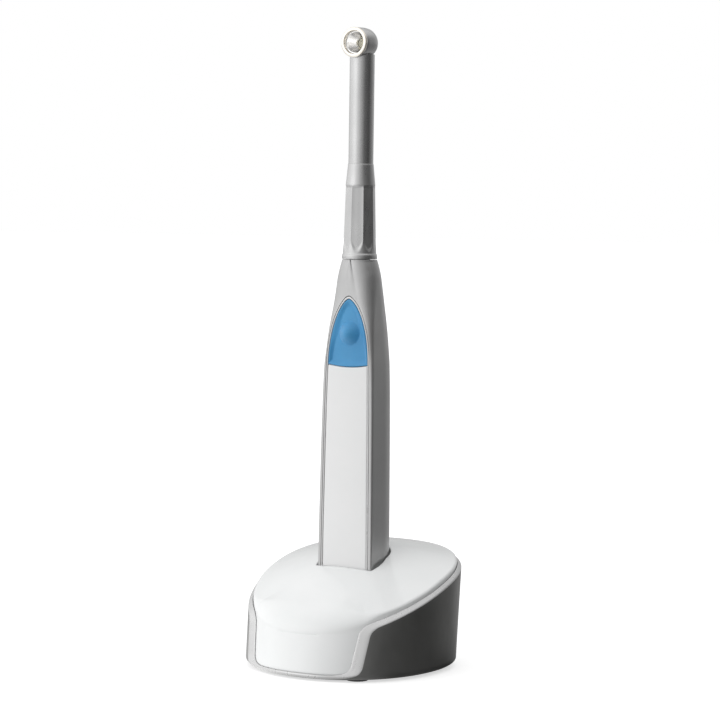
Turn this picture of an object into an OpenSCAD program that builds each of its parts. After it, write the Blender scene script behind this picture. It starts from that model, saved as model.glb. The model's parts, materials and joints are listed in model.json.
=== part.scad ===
// Dental curing light: a slim handpiece with a swivelling light head, standing in its charging base.
// Millimetres, +Z up, front is -Y. The origin is on the table under the middle of the base.

/* [Handpiece] */
// Height of the handpiece's lower end above the table while it is docked
handle_bottom = 14; // [13:0.5:16]
// Height of the seam between handle and collar
seam_z = 152.3; // [151.5:0.1:153]
// Wall thickness of the handle shell
handle_wall = 1.6; // [1.2:0.1:2]
// Width of the trim strip around the front panel
trim_w = 0.95; // [0.7:0.05:1.2]
// Height of the line between the front panel and the button pad
panel_top = 112.7; // [110:0.1:115]
// Height of the button pad's pointed top
pad_apex = 137.5; // [135:0.1:139]
// Height of the button's centre
button_z = 124.8; // [122:0.1:127]
// Radius of the button dome
button_r = 4.5; // [4:0.1:5]
// How far the button dome stands proud
button_proud = 1.9; // [1.2:0.1:2.4]

/* [Neck and head] */
// Height where the collar meets the neck tube
collar_top = 188; // [186:0.5:190]
// Outer radius of the neck tube
neck_r = 4.65; // [4.4:0.05:5]
// Height of the light exit's centre
head_z = 232.9; // [228:0.1:236]
// Radius of the round back of the head
head_r = 5.75; // [5.6:0.05:6]
// Outer radius of the nose ring
ring_r = 5.6; // [5.4:0.05:5.7]
// Distance from the neck axis to the front of the nose ring
ring_front = 6.2; // [6:0.1:6.6]
// Radius of the light window
lens_r = 4; // [3.6:0.1:4.2]

/* [Charging base] */
// Half width of the base at the table
base_half_w = 38.1; // [37:0.1:40]
// Length of the base in front of the handpiece axis, at the table
base_front = 43.3; // [42:0.1:45]
// Length of the base behind the handpiece axis, at the table
base_rear = 34.2; // [33:0.1:36]
// Height of the dome's middle above the line of the rim
crown = 8; // [6:0.5:9]
// Height of the rim at the front shoulders
shoulder_z = 20.2; // [19:0.1:22]
// Thickness of the white cover
cover_wall = 2.2; // [1.8:0.1:2.6]
// Clearance between the handpiece and its socket
socket_gap = 0.4; // [0.3:0.05:0.6]
// Height of the rubber feet below the base
foot_h = 0.8; // [0.6:0.1:1]

/* [Charging contacts] */
// Distance of each contact pin from the middle
pin_x = 5; // [4:0.5:6]
// Radius of the contact pins
pin_r = 0.9; // [0.7:0.05:1]

/* [Hidden] */
$fn = 64;

handle_y = 3.1;          // the handpiece axis, behind the middle of the base
big = 200;
fit = 0.02;              // assembly clearance between fixed round pieces
run = 0.05;              // running clearance of the swivel and the contact pins
hair = 0.1;              // hairline between trim pieces

// Handle sections: height, half width, front, back, centre of the back curve, corner radius
stations = [
    [14, 12, 7.9, 13.4, 1.4, 0.6], [43, 11.95, 7.9, 13.4, 1.4, 0.6], [70, 11.7, 7.8, 13.4, 1.4, 0.7],
    [100, 11.3, 7.6, 13.2, 1.4, 0.9], [113, 10.95, 7.45, 13, 1.35, 1.2], [118, 10.6, 7.35, 12.7, 1.3, 1.7],
    [126, 9.95, 7.2, 12, 1, 2.6], [137, 8.9, 6.95, 10.3, 0.5, 4.9], [145, 8.4, 6.9, 8.2, 0.2, 6.4],
    [149, 7.6, 6.8, 7.5, 0.1, 6.6], [152.3, 6.6, 6.6, 6.6, 0, 6.4]
];
handle_levels = [15.6, 30, 43, 70, 100, 107, 113, 118, 122, 126, 131, 137, 141, 145, 147, 149, 150.7, 152.3];
front_bow = 0.35;        // the front face is crowned by this much
trim_margin = 2.25;      // from the handle's side to the front panel's edge

// Leads from the swivel to the light head, inside the spigot's bore
lead_x = 1.1;
lead_y = -1.7;
lead_r = 0.4;
lead_low = 147;

// Base outline and rim
n_front = 2.15;
n_rear = 2.3;
draft = 0.042;
front_lean = 0.18;
shoulder_y = -31.1;
rim_foot_y = -35.1;
rim_foot_z = 4;
rim_slope = 0.468;
rim_bend = 0.002;
rim_w = 2.2;
edge_rise = 1;
crest_rise = 3.4;
crest_r = 8.5;
shell_wall = 3.6;
foot_top = 3.2;
foot_w = 2.4;
plate_t = 1.5;
board_z = 5.3;
board_t = 1.2;
block_z = board_z + board_t;
cup_floor_z = 11.9;
cup_floor_t = 2;
cup_wall = 1.5;
pin_y = 2;
pin_top = handle_bottom;
boss_at = [[-24, -16], [24, -16], [-22, 20], [22, 20]];
foot_at = [[-20, -28], [20, -28], [-25, 12], [25, 12]];
post_at = [[-14, -9], [14, -9], [-14, 11], [14, 11]];
jack_z = 9.6;
jack_front = base_rear + draft * jack_z;

// ---------- helpers ----------
function column(k) = [for (s = stations) [s[0], s[k]]];
function half_width(z) = lookup(z, column(1));
function signed_power(v, p) = sign(v) * pow(abs(v), p);
function smooth_max(a, b, k) = (a + b + sqrt(pow(a - b, 2) + k * k)) / 2;
function ramp(t) = let (u = min(1, max(0, t))) u * u * (3 - 2 * u);

module at_handle() {
    translate([0, handle_y, 0]) children();
}

// A solid through a stack of rings of equal length, each ring anticlockwise seen from above
module loft(rings) {
    n = len(rings[0]);
    m = len(rings);
    polyhedron(
        points = [for (r = rings) for (p = r) p],
        faces = concat(
            [[for (i = [0:n - 1]) i]],
            [[for (i = [n - 1:-1:0]) (m - 1) * n + i]],
            [for (k = [0:m - 2]) for (i = [0:n - 1]) let (j = (i + 1) % n) [k * n + i, (k + 1) * n + i, k * n + j]],
            [for (k = [0:m - 2]) for (i = [0:n - 1]) let (j = (i + 1) % n)
                [k * n + j, (k + 1) * n + i, (k + 1) * n + j]]
        )
    );
}

// Keeps heavy faceted cuts as one mesh
module as_mesh() {
    resize([0, 0, 0]) children();
}

module round_prism(r, y0, y1, z) {
    translate([0, y1, z]) rotate([90, 0, 0]) cylinder(r = r, h = y1 - y0);
}

module coil(r, wire, z0, z1, turns, steps = 12) {
    sides = 6;
    n = turns * steps;
    rings = [for (k = [0:n]) [for (i = [0:sides - 1])
        let (a = 360 * k / steps, b = -360 * i / sides, q = r + wire * cos(b))
        [q * cos(a), q * sin(a), z0 + wire + (z1 - z0 - 2 * wire) * k / n + wire * sin(b)]]];
    loft(rings);
}

// ---------- handle ----------
function d_section(z, grow) =
    let (w = lookup(z, column(1)) + grow, f = lookup(z, column(2)) + grow - front_bow,
        b = lookup(z, column(3)) + grow, yc = lookup(z, column(4)), rc = max(0.3, lookup(z, column(5)) + grow),
        flat = w - rc,
        right = concat(
            [for (i = [0:2]) [flat * i / 3, -f - front_bow * (1 - pow(i / 3, 2))]],
            [for (a = [-90:18:0]) [flat + rc * cos(a), -f + rc + rc * sin(a)]],
            [for (a = [0:11.25:90]) [w * cos(a), max(yc, -f + rc + 0.05) + (b - yc) * sin(a)]]
        ),
        n = len(right))
    concat(right, [for (i = [n - 2:-1:1]) [-right[i][0], right[i][1]]]);

module d_loft(grow, levels) {
    loft([for (z = levels) [for (p = d_section(z, grow)) [p[0], p[1], z]]]);
}

module d_plate(grow, z0, z1) {
    translate([0, 0, z0]) linear_extrude(z1 - z0) polygon(d_section(handle_bottom, grow));
}

module handle_inside() {
    d_loft(-handle_wall, concat([12], [for (z = handle_levels) if (z > 20 && z < 149) z], [150.2]));
}

// The outline of the front panel and pad together, grown by m: straight flanks under a pointed arch
function front_outline(m, z0) =
    let (h = half_width(panel_top) - trim_margin + m, apex = pad_apex + 1.5 * m,
        right = concat(
            [for (z = [z0, 43, 70, 100]) [half_width(z) - trim_margin + m, z]],
            [for (t = [0:0.1:1]) [h * pow(1 - pow(t, 1.9), 0.75), panel_top + (apex - panel_top) * t]]
        ),
        n = len(right))
    concat(right, [for (i = [n - 2:-1:0]) [-right[i][0], right[i][1]]]);

module front_prism(m, z0 = 10) {
    rotate([90, 0, 0]) linear_extrude(20) polygon(front_outline(m, z0));
}

module handle_shell() {
    color([0.66, 0.66, 0.66]) at_handle() as_mesh() difference() {
        d_loft(0, handle_levels);
        handle_inside();
        front_prism(trim_w);
        translate([0, 0, 140]) cylinder(r = 3.9 + hair, h = 20);
    }
}

module panel_frame() {
    color([0.78, 0.78, 0.78]) at_handle() as_mesh() difference() {
        intersection() {
            d_loft(-hair, handle_levels);
            front_prism(trim_w - hair);
        }
        front_prism(hair);
        handle_inside();
    }
}

module front_skin(z0, z1) {
    difference() {
        intersection() {
            d_loft(0, handle_levels);
            front_prism(0);
            translate([-big / 2, -big, z0]) cube([big, big, z1 - z0]);
        }
        handle_inside();
    }
}

module front_panel() {
    color([0.9, 0.9, 0.9]) at_handle() as_mesh() front_skin(15.7, panel_top - hair);
}

module button_pad() {
    color([0.29, 0.61, 0.8]) at_handle() as_mesh() difference() {
        front_skin(panel_top + hair, pad_apex + 1);
        round_prism(button_r + 0.2, -20, 0, button_z);
    }
}

button_face = lookup(button_z, column(2));

module button_dome() {
    dome_r = (button_r * button_r + button_proud * button_proud) / (2 * button_proud);
    color([0.29, 0.61, 0.8]) at_handle() union() {
        round_prism(button_r, -button_face, -button_face + handle_wall - 0.1, button_z);
        intersection() {
            translate([0, -button_face - button_proud + dome_r, button_z]) sphere(r = dome_r);
            round_prism(button_r, -button_face - button_proud - 1, -button_face, button_z);
        }
    }
}

module switch_actuator() {
    color([0.2, 0.2, 0.22]) at_handle() round_prism(1.4, -button_face + handle_wall - 0.1, -4.9, button_z);
}

module tact_switch() {
    color([0.15, 0.15, 0.16]) at_handle() union() {
        translate([-3, -3.4, button_z - 3]) cube([6, 3, 6]);
        round_prism(1.5, -4, -3.4, button_z);
    }
}

module control_board() {
    color([0.1, 0.38, 0.2]) at_handle() union() {
        translate([-6, -0.4, 78]) cube([12, 1.2, 56]);
        translate([-3.5, -1.9, 98]) cube([7, 1.5, 7]);
        translate([-4.5, -1.4, 86]) cube([3, 1, 2.5]);
        translate([1.5, -1.4, 86]) cube([3, 1, 2.5]);
    }
}

module inner_chassis() {
    cell_y = 2.3;
    color([0.22, 0.22, 0.24]) at_handle() union() {
        difference() {
            translate([0, cell_y, 17.6]) cylinder(r = 8.6, h = 56.4);
            translate([0, cell_y, 19.2]) cylinder(r = 7.25, h = 53.3);
            translate([-10, -10, 19.2]) cube([20, 11, 53.3]);
        }
        translate([-6, 0.9, 74]) cube([12, 1.5, 58]);
    }
}

module battery_cell() {
    color([0.2, 0.45, 0.3]) at_handle() translate([0, 2.3, 0]) union() {
        translate([0, 0, 21.8]) cylinder(r = 7.1, h = 48);
        translate([0, 0, 69.8]) cylinder(r = 2.8, h = 1.2);
    }
}

module battery_spring() {
    color([0.75, 0.72, 0.6]) at_handle() translate([0, 2.3, 0]) coil(3.2, 0.3, 19.25, 21.75, 2, 24);
}

module end_cap() {
    color([0.3, 0.3, 0.31]) at_handle() difference() {
        union() {
            d_plate(-0.05, handle_bottom, 15.5);
            d_plate(-handle_wall - hair, 15.5, 17.5);
        }
        for (s = [-1, 1]) {
            translate([s * pin_x, pin_y, 10]) cylinder(r = 2 + fit, h = 6.2);
        }
    }
}

module charge_pads() {
    color([0.83, 0.69, 0.4]) at_handle() {
        for (s = [-1, 1]) {
            translate([s * pin_x, pin_y, handle_bottom + 0.1]) cylinder(r = 2, h = 2);
        }
    }
}

// ---------- swivel ----------
spigot_r = 3.9;
bore_r = spigot_r + run;

module swivel_spigot() {
    color([0.75, 0.75, 0.77]) at_handle() difference() {
        union() {
            translate([0, 0, 146]) cylinder(r = 4.6, h = 3.5);
            translate([0, 0, 149.5]) cylinder(r = spigot_r, h = 21.5);
        }
        translate([0, 0, 145]) cylinder(r = 2.6, h = 30);
        translate([0, 0, 159.4]) rotate_extrude() translate([3.2, 0]) square([2, 1.2]);
        translate([0, 0, 169.3]) rotate_extrude() translate([3.3, 0]) square([2, 0.9]);
    }
}

module swivel_o_ring() {
    color([0.1, 0.1, 0.1]) at_handle() translate([0, 0, 160]) rotate_extrude() translate([3.56, 0]) circle(r = 0.35);
}

module retaining_clip() {
    color([0.6, 0.6, 0.62]) at_handle() translate([0, 0, 169.4]) difference() {
        cylinder(r = 4.3, h = 0.7);
        translate([0, 0, -1]) cylinder(r = 3.3 + fit, h = 3);
        translate([-1, 0, -1]) cube([2, 6, 3]);
    }
}

module neck_collar() {
    color([0.7, 0.7, 0.7]) at_handle() difference() {
        rotate_extrude() polygon([
            [0, seam_z + 0.2], [6.5, seam_z + 0.2], [6.6, seam_z + 0.4], [6.6, seam_z + 1.3], [6.2, seam_z + 1.8],
            [5.5, 180], [5.2, 183], [4.7, collar_top], [0, collar_top]
        ]);
        translate([0, 0, 150]) cylinder(r = bore_r, h = 19);
        translate([0, 0, 168.9]) cylinder(r = 4.5, h = 7.2);
        translate([0, 0, 176]) cylinder(r = 4.1 + fit, h = 20);
        for (k = [0:7]) {
            rotate([0, 0, 45 * k]) translate([10.95, 0, 155]) rotate([0, -1.55, 0]) cylinder(r = 5.25, h = 24.5);
        }
    }
}

module neck_tube() {
    color([0.7, 0.7, 0.71]) at_handle() difference() {
        union() {
            translate([0, 0, 176.1]) cylinder(r = 4.1, h = 20);
            translate([0, 0, collar_top]) cylinder(r = neck_r, h = head_z - 4.2 - collar_top);
        }
        translate([0, 0, 170]) cylinder(r = 3.4, h = 80);
        round_prism(5.1, -20, 20, head_z);
    }
}

// ---------- head ----------
nose_back = -ring_front + 1.2;

module head_housing() {
    color([0.7, 0.7, 0.7]) at_handle() difference() {
        union() {
            translate([0, 0, head_z]) sphere(r = head_r);
            round_prism(ring_r - hair, nose_back, 0, head_z);
        }
        round_prism(big, -big, nose_back, head_z);
        round_prism(4.9, -20, 3, head_z);
        translate([0, 0, 200]) cylinder(r = neck_r + fit, h = head_z - 200);
    }
}

module nose_ring() {
    color([0.86, 0.84, 0.8]) at_handle() difference() {
        union() {
            round_prism(ring_r, -ring_front, nose_back, head_z);
            round_prism(4.9 - fit, nose_back, -3.6, head_z);
        }
        round_prism(lens_r + 0.25, -20, 0, head_z);
    }
}

module lens() {
    color([0.85, 0.88, 0.9, 0.5]) at_handle() intersection() {
        translate([0, -ring_front + 0.25 + 14, head_z]) sphere(r = 14, $fn = 96);
        round_prism(lens_r, -20, -4.5, head_z);
    }
}

module reflector() {
    color([0.85, 0.85, 0.85]) at_handle() translate([0, 0, head_z]) rotate([90, 0, 0]) rotate_extrude() polygon([
        [4.2, 3.4], [4.2, 4.4], [3.7, 4.4], [1.7, 0.9], [1.7, 0.5], [2.2, 0.5]
    ]);
}

module led_module() {
    color([0.9, 0.85, 0.5]) at_handle() union() {
        round_prism(1.55, -0.7, 0.1, head_z);
        translate([0, -0.7, head_z]) sphere(r = 0.8);
    }
}

module led_board() {
    color([0.9, 0.9, 0.9]) at_handle() round_prism(4.6, 0.1, 1.1, head_z);
}

module heat_rod() {
    color([0.75, 0.5, 0.35]) at_handle() union() {
        round_prism(4.6, 1.1, 2.9, head_z);
        difference() {
            translate([0, 1.4, 186]) cylinder(r = 1.8, h = head_z - 186);
            round_prism(4.8, -20, 1.1, head_z);
        }
    }
}

module led_leads() {
    color([0.7, 0.15, 0.12]) at_handle() {
        for (s = [-1, 1]) {
            translate([s * lead_x, lead_y, lead_low]) cylinder(r = lead_r, h = head_z - 4.9 - lead_low);
        }
    }
}

// ---------- charging base ----------
function plan(a, z, inset) =
    let (front = sin(a) < 0, n = front ? n_front : n_rear, w = base_half_w + draft * z - inset,
        l = front ? base_front - front_lean * z - inset : base_rear + draft * z - inset)
    [w * signed_power(cos(a), 2 / n), l * signed_power(sin(a), 2 / n)];

// Height of the rim above a point y of the side view
function rim_z(y) = shoulder_z + rim_slope * (y - shoulder_y) - rim_bend * pow(y - shoulder_y, 2);
function edge_y(a) = plan(a, shoulder_z, 0)[1];
function crest_z(y) =
    shoulder_z + edge_rise + crest_rise * sin(90 * min(1, max(0, (shoulder_y - y) / (shoulder_y - edge_y(-90)))));
function edge_z(a) = smooth_max(rim_z(edge_y(a)) + edge_rise, crest_z(edge_y(a)), 1.5);
function corner_r(a) = 0.9 + (crest_r - 0.9) * ramp((shoulder_y + 1 - edge_y(a)) / 6);
function dome_z(a, s) =
    rim_z(s * edge_y(a)) + crown * (1 - pow(s, 2.2)) + pow(s, 3) * (edge_z(a) - rim_z(edge_y(a)));
function foot_inset(z) = z < foot_top ? foot_w * pow((foot_top - max(z, foot_h)) / (foot_top - foot_h), 2) : 0;

// The base as one solid: wall, rounded edge and dome, each point on a ray at angle a
function base_profile(a, inset, drop, z0, foot, round) =
    let (r = round ? max(0.3, corner_r(a) - drop) : 0.3, top = edge_z(a) - drop - r, reach = norm(plan(a, top, 0)),
        inner = plan(a, top, inset + r), s1 = 1 - (inset + r) / reach)
    concat(
        [for (t = [0, 0.05, 0.12, 0.3, 0.65, 1])
            let (z = z0 + (top - z0) * t, p = plan(a, z, inset + (foot ? foot_inset(z) : 0))) [p[0], p[1], z]],
        [for (q = [22.5:22.5:90])
            let (i = inset + r * (1 - cos(q)), p = plan(a, top, i), s = 1 - i / reach)
            [p[0], p[1], dome_z(a, s) - drop - r * (1 - sin(q))]],
        [for (t = [0.82, 0.64, 0.46, 0.3, 0.12, 0.02]) [inner[0] * t, inner[1] * t, dome_z(a, s1 * t) - drop]]
    );

module base_solid(inset, drop, z0, foot, round = true) {
    steps = 64;
    profiles = [for (k = [0:steps - 1]) base_profile(-90 + 360 * k / steps, inset, drop, z0, foot, round)];
    loft([for (j = [0:len(profiles[0]) - 1]) [for (k = [0:steps - 1]) profiles[k][j]]]);
}

// Everything under the rim line, seen from the side; shrink moves the line inwards
module under_rim(shrink) {
    rotate([90, 0, 90]) translate([0, 0, -big / 2]) linear_extrude(big)
        offset(delta = -shrink) offset(r = 7) offset(delta = -7) offset(r = -4) offset(delta = 4)
        polygon(concat(
            [[-70, -20], [-70, rim_foot_z], [rim_foot_y, rim_foot_z]],
            [for (y = [shoulder_y:7:60]) [y, rim_z(y)]],
            [[70, rim_z(60)], [70, -20]]
        ));
}

module base_shell() {
    color([0.36, 0.36, 0.36]) at_handle() as_mesh() difference() {
        union() {
            intersection() {
                base_solid(0, 0, foot_h, true, false);
                under_rim(rim_w);
            }
            intersection() {
                base_solid(rim_w, 0, foot_h, true, false);
                under_rim(0);
            }
        }
        base_solid(shell_wall, 0, -5, false, false);
        translate([0, base_rear - 10, jack_z]) rotate([-90, 0, 0]) cylinder(r = 4.7, h = 30, $fn = 32);
    }
}

module top_cover() {
    color([0.94, 0.95, 0.95]) at_handle() as_mesh() difference() {
        union() {
            difference() {
                base_solid(rim_w + hair, 0, foot_h, true);
                base_solid(rim_w + hair + cover_wall, cover_wall, -5, false);
                under_rim(-hair);
            }
            intersection() {
                base_solid(rim_w + hair, 0.5, foot_h, true);
                for (p = boss_at) {
                    translate([p[0], p[1], foot_h + plate_t + hair]) cylinder(r = 2.8, h = 60, $fn = 20);
                }
            }
        }
        for (p = boss_at) {
            translate([p[0], p[1], -5]) cylinder(r = 1.1, h = 18, $fn = 20);
        }
        d_loft(socket_gap, [14, 43, 60]);
    }
}

module cradle_cup() {
    color([0.85, 0.86, 0.86]) at_handle() union() {
        as_mesh() difference() {
            intersection() {
                d_loft(socket_gap + cup_wall, [cup_floor_z + cup_floor_t, 43, 60]);
                base_solid(rim_w + 4, cover_wall + hair, -5, false);
            }
            d_loft(socket_gap, [10, 43, 60]);
        }
        difference() {
            d_plate(socket_gap + cup_wall, cup_floor_z, cup_floor_z + cup_floor_t);
            for (s = [-1, 1]) {
                translate([s * pin_x, pin_y, 0]) cylinder(r = pin_r + 0.2, h = 30);
            }
        }
    }
}

collar_z = 10.2;
cavity_top = 11;

module contact_block() {
    color([0.12, 0.12, 0.13]) at_handle() difference() {
        translate([-9, pin_y - 3, block_z]) cube([18, 6, cup_floor_z - block_z]);
        for (s = [-1, 1]) {
            translate([s * pin_x, pin_y, 0]) cylinder(r = pin_r + run, h = 20);
            translate([s * pin_x, pin_y, 0]) cylinder(r = 1.3 + run, h = cavity_top);
        }
    }
}

module contact_pin(side) {
    color([0.83, 0.69, 0.4]) at_handle() translate([side * pin_x, pin_y, 0]) union() {
        translate([0, 0, collar_z]) cylinder(r = 1.3, h = 0.6);
        translate([0, 0, collar_z + 0.6]) cylinder(r = pin_r, h = pin_top - collar_z - 1);
        translate([0, 0, pin_top - 0.4]) cylinder(r1 = pin_r, r2 = pin_r - 0.3, h = 0.4);
    }
}

module contact_pin_left() {
    contact_pin(-1);
}

module contact_pin_right() {
    contact_pin(1);
}

module contact_spring(side) {
    color([0.7, 0.7, 0.72]) at_handle() translate([side * pin_x, pin_y, 0]) coil(1, 0.16, block_z, collar_z, 6);
}

module contact_spring_left() {
    contact_spring(-1);
}

module contact_spring_right() {
    contact_spring(1);
}

module charger_board() {
    color([0.1, 0.38, 0.2]) at_handle() union() {
        translate([-18, -13, board_z]) cube([36, 32, board_t]);
        translate([-14, -11, block_z]) cube([8, 6, 4]);
        translate([8, -11, block_z]) cube([5, 5, 5]);
        translate([-12, 12, block_z]) cube([6, 4, 2]);
    }
}

module dc_jack() {
    color([0.1, 0.1, 0.1]) at_handle() difference() {
        union() {
            round_prism(4.5, jack_front - 4, jack_front, jack_z);
            translate([-4.5, jack_front - 14, jack_z - 4.5]) cube([9, 10, 9]);
        }
        round_prism(2.75, jack_front - 5, jack_front + 5, jack_z);
        round_prism(3.2, jack_front - 12, jack_front - 5, jack_z);
    }
}

module jack_pin() {
    color([0.8, 0.8, 0.8]) at_handle() round_prism(1, jack_front - 12, jack_front - 5.5, jack_z);
}

module bottom_plate() {
    rim = [for (k = [0:63]) plan(-90 + 360 * k / 64, foot_h + plate_t, shell_wall + 2 * hair)];
    color([0.16, 0.16, 0.17]) at_handle() difference() {
        union() {
            translate([0, 0, foot_h]) linear_extrude(plate_t) polygon(rim);
            for (p = post_at) {
                translate([p[0], p[1], foot_h + plate_t]) cylinder(r = 2, h = board_z - foot_h - plate_t);
            }
        }
        for (p = foot_at) {
            translate([p[0], p[1], 0]) cylinder(r = 4 + fit, h = 1.6);
        }
        for (p = boss_at) {
            translate([p[0], p[1], -1]) cylinder(r = 1.3, h = 5);
            translate([p[0], p[1], 0]) cylinder(r = 2.4, h = foot_h + 0.9);
        }
    }
}

module ballast_plate() {
    color([0.5, 0.5, 0.52]) at_handle() difference() {
        translate([-19, -27, foot_h + plate_t]) cube([38, 44, 2.4]);
        for (p = post_at) {
            translate([p[0], p[1], 0]) cylinder(r = 2.3, h = 20);
        }
    }
}

module bottom_screws() {
    color([0.55, 0.55, 0.57]) at_handle() {
        for (p = boss_at) {
            translate([p[0], p[1], 0]) union() {
                translate([0, 0, foot_h + 0.1]) cylinder(r = 2.2, h = 0.8);
                translate([0, 0, foot_h + 0.9]) cylinder(r = 1, h = 8);
            }
        }
    }
}

module rubber_feet() {
    color([0.08, 0.08, 0.08]) at_handle() {
        for (p = foot_at) {
            translate([p[0], p[1], 0]) cylinder(r = 4, h = 1.6);
        }
    }
}

handle_shell();
panel_frame();
front_panel();
button_pad();
button_dome();
switch_actuator();
tact_switch();
control_board();
inner_chassis();
battery_cell();
battery_spring();
end_cap();
charge_pads();
swivel_spigot();
swivel_o_ring();
retaining_clip();
neck_collar();
neck_tube();
head_housing();
nose_ring();
lens();
reflector();
led_module();
led_board();
heat_rod();
led_leads();
base_shell();
top_cover();
cradle_cup();
contact_block();
contact_pin_left();
contact_pin_right();
contact_spring_left();
contact_spring_right();
charger_board();
dc_jack();
jack_pin();
bottom_plate();
ballast_plate();
bottom_screws();
rubber_feet();
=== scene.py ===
import json
import math

import bmesh
import bpy
import numpy as np
from mathutils import Matrix, Vector
from mathutils.kdtree import KDTree


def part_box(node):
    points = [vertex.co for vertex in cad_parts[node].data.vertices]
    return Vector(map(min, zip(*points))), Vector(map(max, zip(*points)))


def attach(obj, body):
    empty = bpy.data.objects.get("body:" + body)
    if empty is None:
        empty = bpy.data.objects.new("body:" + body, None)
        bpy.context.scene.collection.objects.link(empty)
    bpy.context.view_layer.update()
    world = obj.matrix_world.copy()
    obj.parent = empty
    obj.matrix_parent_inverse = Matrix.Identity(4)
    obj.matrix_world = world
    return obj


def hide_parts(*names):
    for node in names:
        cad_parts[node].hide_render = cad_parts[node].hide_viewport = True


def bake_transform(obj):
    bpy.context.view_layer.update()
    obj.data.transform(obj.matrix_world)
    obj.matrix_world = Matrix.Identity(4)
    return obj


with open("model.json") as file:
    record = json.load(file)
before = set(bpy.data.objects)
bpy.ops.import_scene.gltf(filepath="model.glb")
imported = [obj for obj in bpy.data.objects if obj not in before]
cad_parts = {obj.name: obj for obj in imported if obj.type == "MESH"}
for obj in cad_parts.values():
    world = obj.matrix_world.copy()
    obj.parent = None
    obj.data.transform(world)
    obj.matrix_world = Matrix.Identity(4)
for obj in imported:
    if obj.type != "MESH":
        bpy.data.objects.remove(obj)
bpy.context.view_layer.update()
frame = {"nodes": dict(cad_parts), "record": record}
NODES = frame["nodes"]
MM = 0.001


# ---------------------------------------------------------------- places taken from the frame, in mm
def box_mm(node):
    low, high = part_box(node)
    return np.array(low) / MM, np.array(high) / MM


def middle(node):
    low, high = box_mm(node)
    return (low + high) / 2


AXIS_Y = middle("neck_tube")[1]          # the handpiece axis
SEAM_Z = box_mm("handle_shell")[1][2]
SHELL_Z = box_mm("handle_shell")[0][2]
COLLAR_LOW = box_mm("neck_collar")[0][2]
COLLAR_TOP = box_mm("neck_collar")[1][2]
HEAD_Z = middle("lens")[2]
RING_FRONT = AXIS_Y - box_mm("nose_ring")[0][1]
BUTTON_Z = middle("button_dome")[2]
PANEL_TOP = box_mm("front_panel")[1][2] + 0.1
FOOT_H = box_mm("base_shell")[0][2]
JACK_Z = middle("dc_jack")[2]
JACK_REAR = box_mm("dc_jack")[1][1] - AXIS_Y


# ---------------------------------------------------------------- mesh helpers
def new_object(name, points_mm, faces, material, sharp=40.0, body=None):
    """A welded, smooth mesh from points in mm relative to the handpiece axis; sharp is in degrees."""
    shift = np.array([0.0, AXIS_Y, 0.0])
    points = (np.asarray(points_mm, float) + shift) * MM
    mesh = bpy.data.meshes.new(name)
    mesh.from_pydata(points.tolist(), [], faces)
    work = bmesh.new()
    work.from_mesh(mesh)
    bmesh.ops.remove_doubles(work, verts=work.verts, dist=2e-6)
    bmesh.ops.dissolve_degenerate(work, edges=work.edges, dist=1e-7)
    bmesh.ops.recalc_face_normals(work, faces=work.faces)
    work.to_mesh(mesh)
    work.free()
    mesh.polygons.foreach_set("use_smooth", [True] * len(mesh.polygons))
    mesh.set_sharp_from_angle(angle=math.radians(sharp))
    mesh.materials.append(material)
    piece = bpy.data.objects.new(name, mesh)
    bpy.context.scene.collection.objects.link(piece)
    if body:
        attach(piece, body)
    return piece


def grid_faces(rows, columns, wrap_rows=False, wrap_columns=True):
    faces = []
    for i in range(rows if wrap_rows else rows - 1):
        for j in range(columns if wrap_columns else columns - 1):
            a, b = i * columns + j, i * columns + (j + 1) % columns
            c, d = ((i + 1) % rows) * columns + (j + 1) % columns, ((i + 1) % rows) * columns + j
            faces.append((a, b, c, d))
    return faces


def grid_object(name, grid, material, wrap_rows=False, wrap_columns=True, caps=False, **options):
    grid = np.asarray(grid, float)
    rows, columns = grid.shape[:2]
    faces = grid_faces(rows, columns, wrap_rows, wrap_columns)
    if caps:
        faces.append(tuple(range(columns)))
        faces.append(tuple((rows - 1) * columns + j for j in range(columns)))
    return new_object(name, grid.reshape(-1, 3), faces, material, **options)


def revolve(name, profile, material, centre, steps, **options):
    """Turns (radius, distance towards the front) points about the Y direction through centre."""
    turn = np.linspace(0, 2 * math.pi, steps, endpoint=False)
    rings = []
    for radius, ahead in np.asarray(profile, float):
        ring = np.stack([radius * np.cos(turn), np.full(steps, -ahead), radius * np.sin(turn)], 1)
        rings.append(ring + np.array(centre))
    return grid_object(name, rings, material, wrap_rows=True, **options)


def resample(points, count, end=True):
    """Evenly spaced points along a polyline."""
    points = np.asarray(points, float)
    along = np.concatenate([[0], np.cumsum(np.linalg.norm(np.diff(points, axis=0), axis=1))])
    want = np.linspace(0, along[-1], count, endpoint=end)
    return np.stack([np.interp(want, along, points[:, k]) for k in range(points.shape[1])], 1)


def ramp(t):
    t = np.clip(t, 0, 1)
    return t * t * (3 - 2 * t)


# ---------------------------------------------------------------- materials
def nodes_of(name):
    material = bpy.data.materials.new(name)
    material.use_nodes = True
    tree = material.node_tree
    shader = next(n for n in tree.nodes if n.type == "BSDF_PRINCIPLED")
    place = tree.nodes.new("ShaderNodeTexCoord")
    return material, tree, shader, place


def noise_on(tree, place, scale, detail=4.0, stretch=(1, 1, 1)):
    mapping = tree.nodes.new("ShaderNodeMapping")
    mapping.inputs["Scale"].default_value = stretch
    noise = tree.nodes.new("ShaderNodeTexNoise")
    noise.inputs["Scale"].default_value = scale
    noise.inputs["Detail"].default_value = detail
    tree.links.new(place.outputs["Object"], mapping.inputs["Vector"])
    tree.links.new(mapping.outputs["Vector"], noise.inputs["Vector"])
    return noise


def spread(tree, source, low, high):
    node = tree.nodes.new("ShaderNodeMapRange")
    node.inputs["From Min"].default_value = 0.3
    node.inputs["From Max"].default_value = 0.7
    node.inputs["To Min"].default_value = low
    node.inputs["To Max"].default_value = high
    tree.links.new(source, node.inputs["Value"])
    return node.outputs["Result"]


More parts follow.
